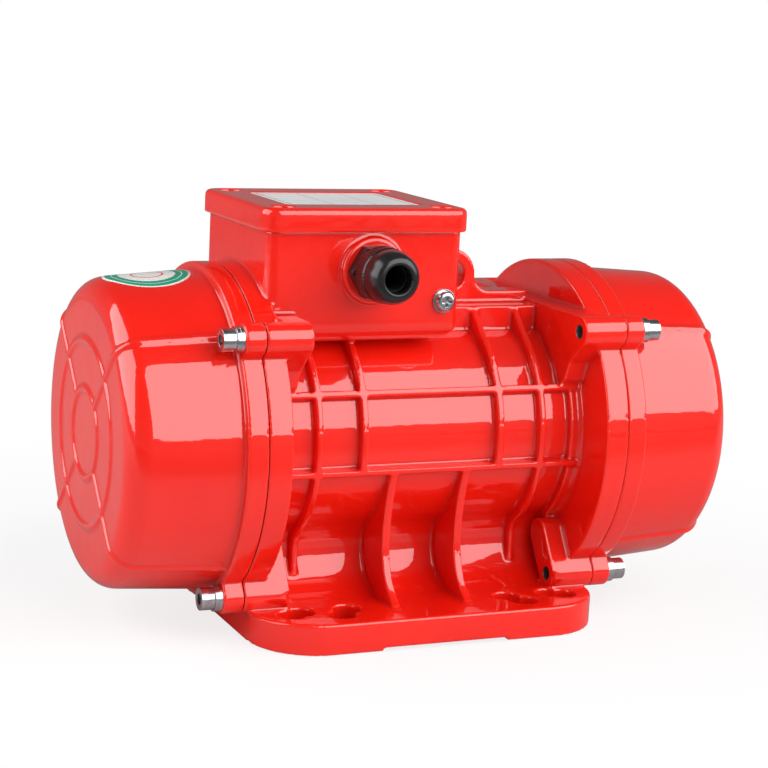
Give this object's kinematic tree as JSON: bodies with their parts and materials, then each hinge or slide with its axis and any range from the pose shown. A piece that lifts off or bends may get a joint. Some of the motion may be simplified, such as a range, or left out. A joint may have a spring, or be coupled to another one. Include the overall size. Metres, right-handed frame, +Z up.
{
  "type": "vibration motor",
  "caption": "Three-phase vibration motor with a ribbed cast housing on a slotted foot, a terminal box, and eccentric weights under deep end covers.",
  "frame": {"origin": "middle of the mounting face, on the underside of the foot", "axes": "+X along the shaft, +Z up, -Y out of the wall that carries the cable gland"},
  "size_m": [0.295, 0.155, 0.1915],
  "materials": {
    "red_paint": "gloss red enamel on cast aluminium",
    "cast_iron": "machined grey iron",
    "zinc_steel": "bright zinc plate",
    "ground_steel": "ground steel",
    "bearing_steel": "polished bearing steel",
    "cage_brass": "machined brass",
    "core_steel": "laminated electrical steel",
    "cast_aluminium": "as cast aluminium",
    "winding": "enamelled copper wire under varnish",
    "rubber": "matt nitrile rubber",
    "black_nylon": "moulded black nylon, satin gloss",
    "plate_aluminium": "brushed, bare",
    "moulded_board": "dark brown phenolic moulding"
  },
  "bodies": {
    "housing": {"motor_housing": "red_paint", "left_end_cover": "red_paint", "left_cover_seal": "rubber", "left_cover_bolts": "zinc_steel", "left_flat_washers": "zinc_steel", "left_spring_washers": "zinc_steel", "left_bearing_flange": "cast_iron", "left_flange_screws": "zinc_steel", "left_bearing_outer_ring": "bearing_steel", "left_winding_head": "winding", "right_end_cover": "red_paint", "right_cover_seal": "rubber", "right_cover_bolts": "zinc_steel", "right_flat_washers": "zinc_steel", "right_spring_washers": "zinc_steel", "right_bearing_flange": "cast_iron", "right_flange_screws": "zinc_steel", "right_bearing_outer_ring": "bearing_steel", "right_winding_head": "winding", "stator_core": "core_steel", "terminal_box_lid": "red_paint", "lid_gasket": "rubber", "lid_screws": "zinc_steel", "nameplate": "plate_aluminium", "gland_body": "black_nylon", "gland_seal": "rubber", "gland_nut": "black_nylon", "earth_washer": "zinc_steel", "earth_screw": "zinc_steel", "terminal_block": "moulded_board", "terminal_studs": "cage_brass", "terminal_links": "cage_brass", "terminal_nuts": "cage_brass", "terminal_board_screws": "zinc_steel"},
    "rotor": {"shaft": "ground_steel", "rotor_core": "core_steel", "rotor_end_rings": "cast_aluminium", "left_bearing_inner_ring": "bearing_steel", "left_spacer": "ground_steel", "left_fixed_weight": "cast_iron", "left_shaft_key": "ground_steel", "left_shaft_washer": "zinc_steel", "left_circlip": "ground_steel", "right_bearing_inner_ring": "bearing_steel", "right_spacer": "ground_steel", "right_fixed_weight": "cast_iron", "right_shaft_key": "ground_steel", "right_shaft_washer": "zinc_steel", "right_circlip": "ground_steel"},
    "left_cage": {"left_bearing_cage": "cage_brass", "left_bearing_balls": "bearing_steel"},
    "left_adjuster": {"left_adjustable_weight": "cast_iron", "left_clamp_bolt": "zinc_steel"},
    "right_cage": {"right_bearing_cage": "cage_brass", "right_bearing_balls": "bearing_steel"},
    "right_adjuster": {"right_adjustable_weight": "cast_iron", "right_clamp_bolt": "zinc_steel"}
  },
  "joints": [
    {"name": "rotor_spin", "type": "hinge", "parent": "housing", "child": "rotor", "pos_m": [0, 0, 0.0864], "axis": [1, 0, 0], "continuous": true},
    {"name": "left_cage_orbit", "type": "hinge", "parent": "housing", "child": "left_cage", "pos_m": [0, 0, 0.0864], "axis": [1, 0, 0], "continuous": true},
    {"name": "right_cage_orbit", "type": "hinge", "parent": "housing", "child": "right_cage", "pos_m": [0, 0, 0.0864], "axis": [1, 0, 0], "continuous": true},
    {"name": "left_weight_adjust", "type": "hinge", "parent": "rotor", "child": "left_adjuster", "pos_m": [0, 0, 0.0864], "axis": [1, 0, 0], "range_deg": [0, 180]},
    {"name": "right_weight_adjust", "type": "hinge", "parent": "rotor", "child": "right_adjuster", "pos_m": [0, 0, 0.0864], "axis": [1, 0, 0], "range_deg": [0, 180]}
  ],
  "couplings": [
    {"joint": "left_cage_orbit", "follows": "rotor_spin", "ratio": 0.366},
    {"joint": "right_cage_orbit", "follows": "rotor_spin", "ratio": 0.366}
  ]
}
